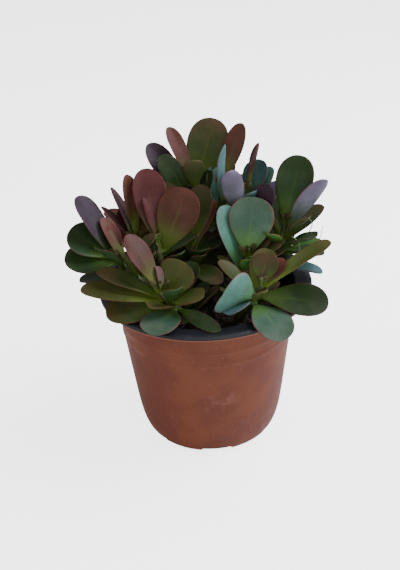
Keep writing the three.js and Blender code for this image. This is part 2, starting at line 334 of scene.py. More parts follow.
class LeafTone(Enum):
    """The kinds of leaf on the plant, from shaded green to sunned bronze and powdery lilac."""

    DEEP_GREEN = LeafFinish("leaf_green", "1c300f", "2a421c", "3e5516", "4a1c18", "2f2a12", 0.35, 0.05)
    GREY_GREEN = LeafFinish("leaf_green", "2f4a38", "3d5f46", "4c6e26", "702c2c", "474228", 0.35, 0.14)
    YOUNG_GREEN = LeafFinish("leaf_green", "33551f", "456e2b", "5a8020", "643424", "4a501c", 0.20, 0.05)
    OLIVE = LeafFinish("leaf_olive", "40491b", "4c5826", "5a6e1a", "5e2a22", "503820", 0.40, 0.05)
    MOSS = LeafFinish("leaf_olive", "303d17", "3c4822", "506218", "542420", "4a2e1a", 0.60, 0.05)
    BRONZE = LeafFinish("leaf_bronze", "43261a", "3e261c", "4d5c18", "581c18", "4c231b", 0.80, 0.05)
    RED_BRONZE = LeafFinish("leaf_bronze", "431e18", "42211d", "47441a", "5a1a18", "4c1a17", 0.85, 0.06)
    GLAUCOUS = LeafFinish("leaf_glaucous", "3a6653", "446a5a", "46702f", "763a44", "4c6c6c", 0.35, 0.24)
    SLATE = LeafFinish("leaf_glaucous", "32504e", "466a68", "426222", "622f36", "3c4e56", 0.45, 0.20)
    LILAC = LeafFinish("leaf_lilac", "4e6054", "62606c", "446426", "72344c", "74547a", 0.95, 0.18)
    MAUVE = LeafFinish("leaf_lilac", "4a2c28", "48323e", "465a18", "5e242e", "502630", 0.60, 0.12)
    DUSK = LeafFinish("leaf_lilac", "2a1a24", "2c2030", "2f3e14", "461c26", "2f1826", 0.75, 0.07)


@dataclass(frozen=True)
class StemFinish:
    """Fleshy stem skin: green above, browning below, with corky rings where leaves grew."""

    green: str = "3e4c20"
    brown: str = "3c301e"
    ring: str = "5c4c34"

    @cache
    def material(self) -> bpy.types.Material:
        """Build the finish's material once."""
        made, graph, shader = new_material("stem_skin")
        grain = grain_group().placed(graph, {"Scale": 700.0, "Coarse": 110.0})
        lower = graph.span(graph.attribute("along"), 0.75, 0.25)
        colour = graph.mix(lower, paint(self.green), paint(self.brown))
        patchy = graph.span(grain.outputs["Patches"], 0.2, 1.0, 0.0, 0.45)
        colour = graph.mix(patchy, colour, paint(self.brown))
        colour = graph.mix(graph.math("MULTIPLY", graph.attribute("ring"), 0.6), colour, paint(self.ring))
        bump = graph.node(
            "ShaderNodeBump", {"Height": grain.outputs["Height"], "Strength": 0.5, "Distance": 0.0006}
        )
        join(graph, shader, colour, graph.span(grain.outputs["Patches"], 0.0, 1.0, 0.45, 0.62), bump)
        return made


@dataclass(frozen=True)
class PlasticFinish:
    """One layer of the pot's plastic, with its dust, the smears of handling, and a painted shade that
    darkens its lower part.
    """

    name: str
    plain: str
    worn: str
    dust: str
    dust_amount: float
    specks: float
    roughness: float

    @cache
    def material(self) -> bpy.types.Material:
        """Build the finish's material once."""
        made, graph, shader = new_material(self.name)
        grain = grain_group().placed(graph, {"Scale": 900.0, "Coarse": 45.0})
        height = graph.node("ShaderNodeSeparateXYZ", {0: graph.place()}).outputs["Z"]
        colour = graph.mix(grain.outputs["Patches"], paint(self.plain), paint(self.worn))
        # Painted shade: below 62 mm the worn colour takes over more of the patches the lower it goes, so
        # each layer darkens towards the pot's foot.
        low = graph.span(height, 0.062, 0.0, 0.0, 0.55)
        colour = graph.mix(graph.math("MULTIPLY", low, grain.outputs["Patches"]), colour, paint(self.worn))
        inputs = {
            "Surface": colour,
            "Dust": paint(self.dust),
            "Amount": self.dust_amount,
            "Specks": self.specks,
        }
        dust = dust_group().placed(graph, inputs)
        bump = graph.node(
            "ShaderNodeBump", {"Height": grain.outputs["Height"], "Strength": 0.18, "Distance": 0.0005}
        )
        rough = graph.span(dust.outputs["Mask"], 0.0, 0.7, self.roughness, self.roughness + 0.25)
        join(graph, shader, dust.outputs["Color"], rough, bump)
        shader.inputs["Specular IOR Level"].default_value = 0.3
        return made


@dataclass(frozen=True)
class MixFinish:
    """Damp peat with a little bark in it."""

    dark: str = "15110e"
    light: str = "3a2b20"

    @cache
    def material(self) -> bpy.types.Material:
        """Build the finish's material once."""
        made, graph, shader = new_material("potting_mix_damp")
        grain = grain_group().placed(graph, {"Scale": 1100.0, "Coarse": 420.0})
        colour = graph.mix(grain.outputs["Patches"], paint(self.dark), paint(self.light))
        bump = graph.node(
            "ShaderNodeBump", {"Height": grain.outputs["Height"], "Strength": 0.9, "Distance": 0.0012}
        )
        join(graph, shader, colour, graph.span(grain.outputs["Patches"], 0.0, 1.0, 0.78, 0.95), bump)
        return made


@dataclass(frozen=True)
class FloorFinish:
    """The pale matt floor that the plant is shown on, lit up a little for the camera alone."""

    plain: str = "dcdcdc"
    worn: str = "d6d6d6"
    glow: float = 3.0

    @cache
    def material(self) -> bpy.types.Material:
        """Build the finish's material once."""
        made, graph, shader = new_material("studio_floor")
        grain = grain_group().placed(graph, {"Scale": 60.0, "Coarse": 3.0})
        colour = graph.mix(grain.outputs["Patches"], paint(self.plain), paint(self.worn))
        graph.tree.links.new(colour, shader.inputs["Base Color"])
        shader.inputs["Roughness"].default_value = 0.9
        shader.inputs["Emission Color"].default_value = (self.glow, self.glow, self.glow, 1.0)
        seen = graph.node("ShaderNodeLightPath", {}).outputs["Is Camera Ray"]
        graph.tree.links.new(seen, shader.inputs["Emission Strength"])
        return made


# Each layer's worn colour is real wear in patches, and it is also the painted shade low on the pot.
TERRACOTTA = PlasticFinish("pot_terracotta", "703822", "642f20", "a67468", 0.50, 0.30, 0.50)
LIP_LINE = PlasticFinish("pot_lip_line", "8e5236", "824a30", "a87c66", 0.30, 0.10, 0.45)
BLACK_LAYER = PlasticFinish("pot_black_layer", "141519", "1b1c21", "55545a", 0.40, 0.25, 0.44)


# ------------------------------------------------------------------------ meshes
@dataclass
class Patch:
    """Part of a mesh: its corners, its faces, and numbers kept at each corner."""

    corners: np.ndarray
    faces: list[tuple[int, ...]]
    marks: dict[str, np.ndarray] = field(default_factory=dict)
    zones: list[int] = field(default_factory=list)


def joined(patches: list[Patch]) -> Patch:
    """Put several patches into one.

    Args:
        patches: The patches, all with the same marks.

    Returns:
        One patch that holds them all.
    """
    faces: list[tuple[int, ...]] = []
    start = 0
    for patch in patches:
        faces += [tuple(corner + start for corner in face) for face in patch.faces]
        start += len(patch.corners)
    marks = {name: np.concatenate([p.marks[name] for p in patches]) for name in patches[0].marks}
    return Patch(np.concatenate([p.corners for p in patches]), faces, marks)


def stitched(rings: np.ndarray, start: np.ndarray, end: np.ndarray) -> Patch:
    """Close a row of rings of corners into one skin, with a point at each end.

    Args:
        rings: The rings' corners, by ring, by corner and by axis.
        start: The point that closes the first ring.
        end: The point that closes the last ring.

    Returns:
        The closed skin, facing outwards where the rings turn anticlockwise about their way.
    """
    count, sides = rings.shape[:2]
    corners = np.concatenate([rings.reshape(-1, 3), [start, end]])
    first, last = count * sides, count * sides + 1
    faces: list[tuple[int, ...]] = []
    for side in range(sides):
        beside = (side + 1) % sides
        faces.append((first, beside, side))
        for ring in range(count - 1):
            low, high = ring * sides, (ring + 1) * sides
            faces.append((low + side, low + beside, high + beside, high + side))
        faces.append((last, (count - 1) * sides + side, (count - 1) * sides + beside))
    return Patch(corners, faces)


def make_object(name: str, patch: Patch, materials: list[bpy.types.Material]) -> bpy.types.Object:
    """Make a smooth-shaded object from a patch.

    Args:
        name: The object's name.
        patch: Its corners, faces, marks and zones.
        materials: The materials, in the order of the zones.

    Returns:
        The object, linked into the scene.
    """
    mesh = bpy.data.meshes.new(name)
    mesh.from_pydata([tuple(corner) for corner in patch.corners], [], patch.faces)
    for label, values in patch.marks.items():
        mark = mesh.attributes.new(label, "FLOAT", "POINT")
        mark.data.foreach_set("value", values.astype(np.float32))
    for material in materials:
        mesh.materials.append(material)
    if patch.zones:
        mesh.polygons.foreach_set("material_index", patch.zones)
    mesh.polygons.foreach_set("use_smooth", [True] * len(mesh.polygons))
    mesh.update()
    made = bpy.data.objects.new(name, mesh)
    bpy.context.scene.collection.objects.link(made)
    return made


def add_piece(
    name: str, patch: Patch, materials: list[bpy.types.Material], nodes: tuple[str, ...] = ()
) -> bpy.types.Object:
    """Make one piece of the plant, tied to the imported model.

    Args:
        name: The piece's name.
        patch: Its mesh.
        materials: Its materials.
        nodes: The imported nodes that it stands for.

    Returns:
        The piece.
    """
    piece = make_object(name, patch, materials)
    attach(piece, BODY)
    if nodes:
        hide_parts(*nodes)
    log.info("%s: %d faces", name, len(patch.faces))
    return piece


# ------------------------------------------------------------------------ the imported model's rings
@dataclass
class PackedRings:
    """A packed stem or leaf, read back as its two end points and the rings between them."""

    start: np.ndarray
    end: np.ndarray
    rings: list[np.ndarray]

    @classmethod
    def read(cls, node: str, starts_at: Callable[[np.ndarray, np.ndarray], float]) -> "PackedRings":
        """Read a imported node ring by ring.

        Args:
            node: The node's name.
            starts_at: Scores an end from its point and its nearest ring; the least is the start.

        Returns:
            The node's ends and rings, from its start.
        """
        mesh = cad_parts[node].data
        numbers: dict[tuple[int, ...], int] = {}
        places = [tuple(round(axis / WELD) for axis in vertex.co) for vertex in mesh.vertices]
        welded = [numbers.setdefault(place, len(numbers)) for place in places]
        corners = np.array(list(numbers), float) * WELD
        near: list[set[int]] = [set() for _ in corners]
        for one, other in mesh.edge_keys:
            if welded[one] != welded[other]:
                near[welded[one]].add(welded[other])
                near[welded[other]].add(welded[one])
        poles = [number for number, beside in enumerate(near) if len(beside) == POLE_EDGES]
        start = min(poles, key=lambda pole: starts_at(corners[pole], corners[sorted(near[pole])]))
        reached, level, levels = {start}, {start}, []
        while level:
            level = set().union(*(near[number] for number in level)) - reached
            reached |= level
            if level:
                levels.append(corners[sorted(level)])
        return cls(corners[start], levels[-1][0], levels[:-1])


def ring_size(point: np.ndarray, ring: np.ndarray) -> float:
    """Score an end by the size of its nearest ring: a leaf starts at its narrow foot."""
    return float(np.linalg.norm(ring - ring.mean(0), axis=1).mean())


def point_height(point: np.ndarray, ring: np.ndarray) -> float:
    """Score an end by its height: a stem starts at its lower end."""
    return float(point[2])


# ------------------------------------------------------------------------ stems
def through(points: np.ndarray, count: int) -> np.ndarray:
    """Draw a smooth line through some points.

    Args:
        points: The points, by row.
        count: How many points the line is to have.

    Returns:
        The line's points, evenly spread between the first and the last.
    """
    padded = np.concatenate([[2 * points[0] - points[1]], points, [2 * points[-1] - points[-2]]])
    places = np.linspace(0, len(points) - 1, count)
    lower = np.minimum(places.astype(int), len(points) - 2)
    part = (places - lower)[:, None]
    before, here, after, beyond = (padded[lower + step] for step in range(4))
    bend = (2 * before - 5 * here + 4 * after - beyond) * part**2
    turn = (3 * here - before - 3 * after + beyond) * part**3
    return 0.5 * (2 * here + (after - before) * part + bend + turn)


def tube(line: np.ndarray, radii: np.ndarray, sides: int) -> Patch:
    """Skin a round tube about a line.

    Args:
        line: The tube's centre line.
        radii: Its radius at each point of the line.
        sides: How many corners go round it.

    Returns:
        The closed tube, with "along" marked from 0 at its start to 1 at its end.
    """
    ways = np.gradient(line, axis=0)
    ways /= np.linalg.norm(ways, axis=1, keepdims=True)
    helper = np.array([1.0, 0.0, 0.0]) if abs(ways[0][0]) < 0.9 else np.array([0.0, 1.0, 0.0])
    angles = np.linspace(0, 2 * math.pi, sides, endpoint=False)
    rings = []
    for point, way, radius in zip(line, ways, radii):
        helper = helper - way * (helper @ way)
        helper /= np.linalg.norm(helper)
        beside = np.cross(way, helper)
        rings.append(point + radius * (np.outer(np.cos(angles), helper) + np.outer(np.sin(angles), beside)))
    start = line[0] - ways[0] * radii[0] * 0.3
    end = line[-1] + ways[-1] * radii[-1] * 0.5
    patch = stitched(np.array(rings), start, end)
    along = np.repeat(np.linspace(0, 1, len(line)), sides)
    patch.marks["along"] = np.concatenate([along, [0.0, 1.0]])
    return patch


@dataclass
class Stem:
    """One fleshy stem, ringed with the scars of old leaves, rebuilt from its packed rings."""

    name: str
    stations: int = 72
    sides: int = 18
    scar_step: float = 0.0085
    scar_width: float = 0.0007
    scar_swell: float = 0.07
    line: np.ndarray = field(init=False)
    radii: np.ndarray = field(init=False)

    def __post_init__(self) -> None:
        """Read the stem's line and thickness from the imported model."""
        packed = PackedRings.read(self.node, point_height)
        middles = np.array([ring.mean(0) for ring in packed.rings])
        sizes = [np.linalg.norm(ring - middle, axis=1).mean() for ring, middle in zip(packed.rings, middles)]
        self.line = through(middles, self.stations)
        self.radii = np.interp(np.linspace(0, 1, self.stations), np.linspace(0, 1, len(sizes)), sizes)

    @property
    def node(self) -> str:
        """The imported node's name."""
        return f"stem_{self.name}"

    def distances(self) -> np.ndarray:
        """Measure how far each point of the line is from the stem's foot."""
        steps = np.linalg.norm(np.diff(self.line, axis=0), axis=1)
        return np.concatenate([[0.0], np.cumsum(steps)])

    def at(self, below: float) -> np.ndarray:
        """Find the point of the stem's line that is so far below its tip."""
        run = self.distances()
        return np.array([np.interp(run[-1] - below, run, self.line[:, axis]) for axis in range(3)])

    def nearest(self, point: np.ndarray) -> np.ndarray:
        """Find the point of the stem's line that is nearest to a point."""
        return self.line[np.argmin(np.linalg.norm(self.line - point, axis=1))]

    def build(self) -> bpy.types.Object:
        """Make the stem's piece.

        Returns:
            The piece.
        """
        run = self.distances()
        offsets = (run + self.scar_step / 2) % self.scar_step - self.scar_step / 2
        scars = np.exp(-((offsets / self.scar_width) ** 2))
        patch = tube(self.line, self.radii * (1 + self.scar_swell * (scars - 0.5)), self.sides)
        for number in range(len(patch.corners) - 2):
            middle = self.line[number // self.sides]
            wobble = 1 + 0.10 * noise.noise(Vector(patch.corners[number]) * 260)
            patch.corners[number] = middle + (patch.corners[number] - middle) * wobble
        patch.marks["ring"] = np.concatenate([np.repeat(scars, self.sides), [0.0, 0.0]])
        return add_piece(f"{self.node}_skin", patch, [StemFinish().material()], (self.node,))


# ------------------------------------------------------------------------ leaves
@dataclass(frozen=True)
class BladeForm:
    """How a leaf's width and thickness run from its foot to its tip."""

    widest: float = 0.64
    foot: float = 0.17
    swell: float = 1.25
    tip_power: float = 2.3
    thickness: float = 0.0023
    upper_share: float = 0.35
    cup: float = 0.0015
    rings: int = 27
    stalk_rings: int = 4
    sides: int = 22

    def outline(self, along: np.ndarray) -> np.ndarray:
        """Give half the leaf's width over its greatest, at each place along it."""
        rise = np.sin(np.pi / 2 * np.minimum(along / self.widest, 1.0))
        past = np.clip((along - self.widest) / (1 - self.widest), 0, 1)
        narrow = self.foot + (1 - self.foot) * rise**self.swell
        return np.where(along < self.widest, narrow, np.sqrt(1 - past**self.tip_power))

    def depth(self, along: np.ndarray) -> np.ndarray:
        """Give the leaf's thickness at each place along it."""
        return self.thickness * (1 - 0.15 * along) * np.sin(np.pi * np.maximum(along, 0.5)) ** 0.35


FORM = BladeForm()


@dataclass
class Blade:
    """One leaf: where its foot is, how it lies, how large it is and how it is coloured."""

    name: str
    foot: np.ndarray
    ways: np.ndarray
    length: float
    width: float
    arc: float
    tone: LeafTone
    seat: np.ndarray

    @classmethod
    def read(cls, node: str, stem: Stem, tone: LeafTone) -> "Blade":
        """Read a leaf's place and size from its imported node.

        Args:
            node: The node's name.
            stem: The stem that it grows from.
            tone: Its colours.

        Returns:
            The leaf.
        """
        packed = PackedRings.read(node, ring_size)
        chord = packed.end - packed.start
        length = float(np.linalg.norm(chord))
        forward = chord / length
        offsets = np.concatenate(packed.rings) - packed.start
        offsets -= np.outer(offsets @ forward, forward)
        across = np.linalg.svd(offsets - offsets.mean(0))[2][0]
        across -= forward * (across @ forward)
        across /= np.linalg.norm(across)
        up = np.cross(forward, across)
        if offsets.mean(0) @ up < 0:
            across, up = -across, -up
        width = max(float(np.ptp(ring @ across)) for ring in packed.rings)
        middle = np.mean([(ring.mean(0) - packed.start) @ up for ring in packed.rings[3:5]])
        arc = 8 * max(0.0, float(middle) - 0.5 * FORM.cup) / length
        ways = np.stack([forward, across, up])
        return cls(node, packed.start, ways, length, width, arc, tone, stem.nearest(packed.start))

    @classmethod
    def grown(cls, name: str, stem: Stem, sprout: "Sprout") -> "Blade":
        """Set a leaf on its stem from its heading.

        Args:
            name: The leaf's name.
            stem: The stem that it grows from.
            sprout: Its heading and size, in degrees and millimetres.

        Returns:
            The leaf.
        """
        degrees = (sprout.turn, sprout.rise, sprout.roll, sprout.bend)
        turn, rise, roll, bend = (math.radians(angle) for angle in degrees)
        spin = Matrix.Rotation(turn, 3, "Z") @ Matrix.Rotation(-rise, 3, "Y") @ Matrix.Rotation(roll, 3, "X")
        ways = np.array(spin).T
        seat = stem.at(sprout.below * MM)
        foot = seat + ways[0] * 2.6 * MM
        return cls(name, foot, ways, sprout.length * MM, sprout.width * MM, bend, sprout.tone, seat)

    def spine(self, along: np.ndarray) -> tuple[np.ndarray, np.ndarray, np.ndarray]:
        """Run along the leaf's arched middle.

        Args:
            along: Places from 0 at the foot to 1 at the tip.

        Returns:
            How far forward, how far up, and the slope there.
        """
        arc = max(self.arc, 0.02)
        slope = arc * (0.5 - along)
        forward = self.length / arc * (math.sin(arc / 2) - np.sin(slope))
        rise = self.length / arc * (np.cos(slope) - math.cos(arc / 2))
        chord = 2 / arc * math.sin(arc / 2)
        return forward / chord, rise, slope

    def world(self, local: np.ndarray) -> np.ndarray:
        """Carry points from the leaf's own axes to the model's."""
        return self.foot + local @ self.ways

    def samples(self) -> np.ndarray:
        """Give some points spread over the leaf, to keep other leaves clear of it."""
        along = np.linspace(0.15, 0.97, 9)
        forward, rise, _ = self.spine(along)
        half = FORM.outline(along) * self.width / 2
        rows = [np.stack([forward, half * side, rise], 1) for side in (-0.95, -0.5, 0.0, 0.5, 0.95)]
        return self.world(np.concatenate(rows))

    def patch(self) -> Patch:
        """Skin the leaf and its short stalk.

        Returns:
            The closed leaf, marked with "along", "across", "side" and "shade".
        """
        draw = Random(self.name)
        wave, phase = draw.uniform(0.1, 0.45) * MM, draw.uniform(0, 6)
        twist, lean = draw.uniform(-0.12, 0.12), draw.uniform(-0.05, 0.05)
        shade = draw.uniform(-1, 1)
        along = ((1 - np.cos(np.linspace(0, np.pi, FORM.rings + 1))) / 2)[:-1][:, None]
        angle = np.linspace(0, 2 * np.pi, FORM.sides, endpoint=False)[None, :]
        across, side = np.cos(angle), np.sin(angle)
        outline, depth = FORM.outline(along), FORM.depth(along)
        share = np.where(side > 0, FORM.upper_share, 1 - FORM.upper_share)
        half = outline * self.width / 2 * (1 + lean * across)
        lift = side * share * depth + FORM.cup * across**2 * outline
        lift = lift + wave * np.sin(9 * along + phase + 1.5 * across) * np.abs(across) ** 1.5 * outline
        lift = lift + half * across * np.sin(twist * (along - 0.3))
        forward, rise, slope = self.spine(along)
        local = np.stack(
            [
                forward - lift * np.sin(slope),
                np.broadcast_to(half * across, lift.shape),
                rise + lift * np.cos(slope),
            ],
            -1,
        )
        rings = self.world(local)
        back = self.seat - rings[0].mean(0)
        steps = np.linspace(1, 0, FORM.stalk_rings, endpoint=False)[:, None, None]
        stalk = rings[0][None] + steps * back
        tip_forward, tip_rise, _ = self.spine(np.array([0.999]))
        tip = self.world(np.array([tip_forward[0], 0.0, tip_rise[0]]))
        made = stitched(np.concatenate([stalk, rings]), self.seat, tip)
        places = np.concatenate([np.zeros(FORM.stalk_rings), along[:, 0]])
        count = len(places)
        made.marks = {
            "along": np.concatenate([np.repeat(places, FORM.sides), [0.0, 1.0]]),
            "across": np.concatenate([np.tile(across[0], count), [0.0, 0.0]]),
            "side": np.concatenate([np.tile(side[0], count), [0.0, 0.0]]),
            "shade": np.full(count * FORM.sides + 2, shade),
        }
        return made


@dataclass(frozen=True)
class Sprout:
    """A small leaf on a stem: "below" is how far under the tip it grows. Millimetres, degrees."""

    below: float
    turn: float
    rise: float
    length: float
    width: float
    tone: LeafTone
    roll: float = 0.0
    bend: float = 15.0


TONE = LeafTone
LARGE_LEAF_TONES: dict[str, list[LeafTone]] = {
    "front_left": [TONE.BRONZE, TONE.OLIVE, TONE.OLIVE, TONE.MOSS],
    "left": [TONE.DUSK, TONE.DEEP_GREEN, TONE.DEEP_GREEN],
    "upper_left": [TONE.MAUVE, TONE.BRONZE],
    "centre_left": [TONE.RED_BRONZE, TONE.BRONZE],
    "centre": [TONE.MOSS],
    "back": [TONE.RED_BRONZE, TONE.MOSS, TONE.MOSS, TONE.DEEP_GREEN, TONE.DUSK],
    "centre_back": [TONE.BRONZE, TONE.SLATE, TONE.GLAUCOUS],
    "back_right": [TONE.BRONZE, TONE.SLATE, TONE.GLAUCOUS, TONE.LILAC, TONE.DUSK],
    "centre_right": [TONE.GREY_GREEN, TONE.GLAUCOUS],
    "right": [TONE.DEEP_GREEN, TONE.LILAC, TONE.MOSS, TONE.YOUNG_GREEN],
    "front_right": [TONE.MOSS, TONE.OLIVE, TONE.DEEP_GREEN, TONE.GLAUCOUS, TONE.GREY_GREEN],
    "rear_left": [TONE.MOSS, TONE.BRONZE, TONE.OLIVE, TONE.DEEP_GREEN],
    "rear_right": [TONE.GREY_GREEN, TONE.SLATE, TONE.DEEP_GREEN, TONE.YOUNG_GREEN, TONE.DEEP_GREEN],
}

YOUNG_LEAVES: dict[str, list[Sprout]] = {
    "front_left": [
        Sprout(6, 150, 47, 30, 8, TONE.MAUVE, 30),
        Sprout(7, 172, 24, 38, 12, TONE.MOSS, -10),
        Sprout(10, -34, 26, 21, 15, TONE.OLIVE, 10),
        Sprout(2, 108, 58, 13, 5, TONE.MAUVE, 30),
        Sprout(14, -110, 3, 28, 21, TONE.GREY_GREEN, 0, 22),
        Sprout(18, -83, 10, 15, 10, TONE.DEEP_GREEN, 0, 30),
        Sprout(14, -46, 0, 31, 8, TONE.DEEP_GREEN, 45, 40),
    ],
    "left": [
        Sprout(16, -172, 3, 28, 15, TONE.DEEP_GREEN),
        Sprout(20, -171, 10, 23, 13, TONE.DEEP_GREEN),
        Sprout(9, 140, 60, 28, 10, TONE.BRONZE),
        Sprout(5, 120, 66, 20, 8, TONE.RED_BRONZE),
    ],
    "upper_left": [
        Sprout(8, 158, 50, 32, 9, TONE.RED_BRONZE, 20),
        Sprout(14, 137, 60, 31, 15, TONE.BRONZE),
        Sprout(18, 155, 50, 31, 10, TONE.MAUVE, 20),
        Sprout(5, 60, 60, 26, 11, TONE.BRONZE),
        Sprout(16, 159, 46, 26, 13, TONE.DEEP_GREEN),
    ],
    "centre_left": [
        Sprout(1, 126, 66, 24, 7, TONE.RED_BRONZE, 20),
        Sprout(4, 78, 48, 37, 18, TONE.MOSS),
        Sprout(16, -45, 44, 20, 13, TONE.DEEP_GREEN),
        Sprout(14, 160, 30, 22, 13, TONE.DEEP_GREEN),
    ],
    "centre": [
        Sprout(4, 36, 56, 29, 8, TONE.RED_BRONZE, 30),
        Sprout(8, -70, 36, 19, 14, TONE.DEEP_GREEN),
        Sprout(14, -58, 6, 28, 11, TONE.MOSS, 30, 45),
        Sprout(24, -46, 0, 20, 14, TONE.DEEP_GREEN, 0, 25),
        Sprout(6, 120, 50, 26, 14, TONE.MOSS),
    ],
    "back": [
        Sprout(14, 150, 60, 36, 8, TONE.DUSK, 20),
        Sprout(14, 61, 46, 30, 17, TONE.DEEP_GREEN),
        Sprout(20, 140, 48, 26, 15, TONE.DEEP_GREEN),
        Sprout(20, -11, 69, 28, 13, TONE.DEEP_GREEN, 40),
        Sprout(20, 106, 62, 31, 15, TONE.DEEP_GREEN),
    ],
    "centre_back": [
        Sprout(12, 50, 66, 26, 9, TONE.YOUNG_GREEN),
        Sprout(24, -150, 55, 22, 13, TONE.DEEP_GREEN),
        Sprout(26, 106, 69, 35, 11, TONE.GLAUCOUS),
    ],
    "back_right": [
        Sprout(24, 20, 50, 33, 10, TONE.LILAC, 30),
        Sprout(12, -60, 60, 16, 9, TONE.SLATE),
    ],
    "centre_right": [
        Sprout(5, 10, 30, 21, 15, TONE.MOSS),
        Sprout(20, 107, 58, 16, 8, TONE.BRONZE),
        Sprout(12, -66, 62, 12, 7, TONE.YOUNG_GREEN),
        Sprout(12, 0, 20, 24, 14, TONE.DEEP_GREEN),
        Sprout(8, 34, 46, 24, 14, TONE.MOSS),
    ],
    "right": [
        Sprout(26, -14, -5, 27, 10, TONE.SLATE, 0, 25),
        Sprout(14, 90, 52, 26, 15, TONE.DEEP_GREEN),
        Sprout(14, -120, 45, 18, 11, TONE.YOUNG_GREEN),
        Sprout(16, -24, 4, 24, 13, TONE.DEEP_GREEN),
    ],
    "front_right": [
        Sprout(4, 24, 44, 19, 9, TONE.BRONZE, 30),
        Sprout(12, -125, 8, 20, 15, TONE.SLATE, 20, 25),
        Sprout(14, 100, 30, 20, 12, TONE.MOSS),
    ],
    "rear_left": [
        Sprout(3, -20, 55, 20, 12, TONE.OLIVE),
        Sprout(6, 70, 20, 27, 15, TONE.MOSS),
    ],
    "rear_right": [
        Sprout(3, -40, 50, 20, 12, TONE.OLIVE),
        Sprout(6, 160, 35, 24, 14, TONE.BRONZE),
    ],
}


@dataclass
class Crown:
    """All the leaves: the large ones, the young ones, and those low in the crown."""

    stems: dict[str, Stem]
    rim_radius: float
    rim_height: float
    clearance: float = 0.0022
    reach: float = 0.034
    taken: list[np.ndarray] = field(default_factory=list)

    def keep(self, blade: Blade) -> Blade:
        """Note the room that a leaf takes."""
        self.taken.append(blade.samples())
        return blade

    def near(self, place: np.ndarray) -> np.ndarray:
        """Give the taken points within a leaf's reach of a place."""
        others = np.concatenate(self.taken)
        return others[np.linalg.norm(others - place, axis=1) < self.reach]

    def is_clear(self, blade: Blade, others: np.ndarray) -> bool:
        """Tell whether a leaf keeps away from the other leaves and from the pot's rim."""
        points = blade.samples()
        gaps = np.linalg.norm(points[:, None] - others[None], axis=2)
        outward = np.linalg.norm(points[:, :2], axis=1)
        over_rim = outward > self.rim_radius - 14 * MM
        low = points[:, 2] < self.rim_height + 3 * MM
        return bool(gaps.min(initial=1.0) > self.clearance and not (over_rim & low).any())

    def large_leaves(self) -> None:
        """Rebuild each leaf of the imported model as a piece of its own."""
        for stem, tones in LARGE_LEAF_TONES.items():
            for number, tone in enumerate(tones, 1):
                node = f"leaf_{stem}_{number}"
                blade = self.keep(Blade.read(node, self.stems[stem], tone))
                add_piece(f"{node}_blade", blade.patch(), [tone.value.material()], (node,))

    def add_group(self, name: str, blades: list[Blade]) -> None:
        """Add leaves as one piece for each of their tones."""
        for tone in LeafTone:
            patches = [blade.patch() for blade in blades if blade.tone is tone]
            if patches:
                title = f"{name}_{tone.name.lower()}"
                add_piece(title, joined(patches), [tone.value.material()])

    def young_leaves(self) -> None:
        """Add the young leaves among the large ones."""
        for stem, sprouts in YOUNG_LEAVES.items():
            blades = []
            for number, sprout in enumerate(sprouts):
                blade = Blade.grown(f"young_{stem}_{number}", self.stems[stem], sprout)
                blades.append(self.keep(blade))
            self.add_group(f"young_leaves_{stem}", blades)

    def low_leaves(self) -> None:
        """Add pairs of leaves down each stem, wherever there is room for them."""
        for name, stem in self.stems.items():
            draw = Random(f"low {name}")
            blades = []
            turn = draw.uniform(0, 360)
            for below in range(9, 60, 5):
                turn += 90
                if stem.at(below * MM)[2] < self.rim_height - 8 * MM:
                    break
                for half_turn in (0, 180):
                    title = f"low_{name}_{below}_{half_turn}"
                    blade = self.fitting(title, stem, below, turn + half_turn, draw)
                    if blade:
                        blades.append(self.keep(blade))
            self.add_group(f"low_leaves_{name}", blades)

    def fitting(self, title: str, stem: Stem, below: float, turn: float, draw: Random) -> Blade | None:
        """Look for a heading and a size at which a low leaf has room.

        Args:
            title: The leaf's name.
            stem: Its stem.
            below: How far below the tip it grows, in millimetres.
            turn: The compass heading to try first, in degrees.
            draw: The source of chance.

        Returns:
            The leaf, or None where there is no room.
        """
        tone = draw.choice([TONE.DEEP_GREEN, TONE.DEEP_GREEN, TONE.MOSS, TONE.OLIVE])
        length, width = draw.uniform(20, 27), draw.uniform(11, 15)
        others = self.near(stem.at(below * MM))
        for size in (1.0, 0.8, 0.6, 0.45):
            for rise in (45, 62, 28, 75):
                for swing in (0, 20, -20, 40, -40, 60, -60):
                    sprout = Sprout(below, turn + swing, rise, length * size, width * size, tone)
                    blade = Blade.grown(title, stem, sprout)
                    if self.is_clear(blade, others):
                        return blade
        return None

    def buds(self) -> None:
        """Add the pairs of tiny leaves that open at each stem's tip."""
        for name, stem in self.stems.items():
            draw = Random(f"bud {name}")
            start = draw.uniform(0, 180)
            blades = []
            for pair, (length, rise) in enumerate([(6.5, 58), (4.5, 72)]):
                for half_turn in (0, 180):
                    turn = start + 90 * pair + half_turn
                    sprout = Sprout(0.6, turn, rise, length, length * 0.4, TONE.MOSS, 0, -20)
                    blades.append(Blade.grown(f"bud_{name}_{pair}_{half_turn}", stem, sprout))
            self.add_group(f"bud_{name}", blades)


# ------------------------------------------------------------------------ threads
@dataclass
class Threads:
    """Thin pale shoots that curl out from among the leaves on the right."""

    stem: Stem
    radius: float = 0.0003
    sides: int = 8

    def build(self) -> bpy.types.Object:
        """Make the threads as one piece."""
        start = self.stem.at(14 * MM)
        loops = [
            [(0, 0, 0), (6, -6, 3), (13, -8, 9), (17, -7, 17), (13, -5, 20), (10, -6, 15)],
            [(0, 0, -4), (7, -7, -2), (15, -9, 1), (21, -8, 8), (23, -6, 15)],
            [(0, 0, -8), (5, -9, -6), (9, -13, 1), (9, -14, 9), (5, -13, 13)],
        ]
        patches = []
        for loop in loops:
            line = through(start + np.array(loop, float) * MM, 40)
            patches.append(tube(line, np.linspace(1.25, 0.6, 40) * self.radius, self.sides))
        whole = joined(patches)
        whole.marks["ring"] = np.zeros(len(whole.corners))
        finish = StemFinish("5e7038", "4c5c2c", "5e7038")
        return add_piece("curling_threads", whole, [finish.material()])


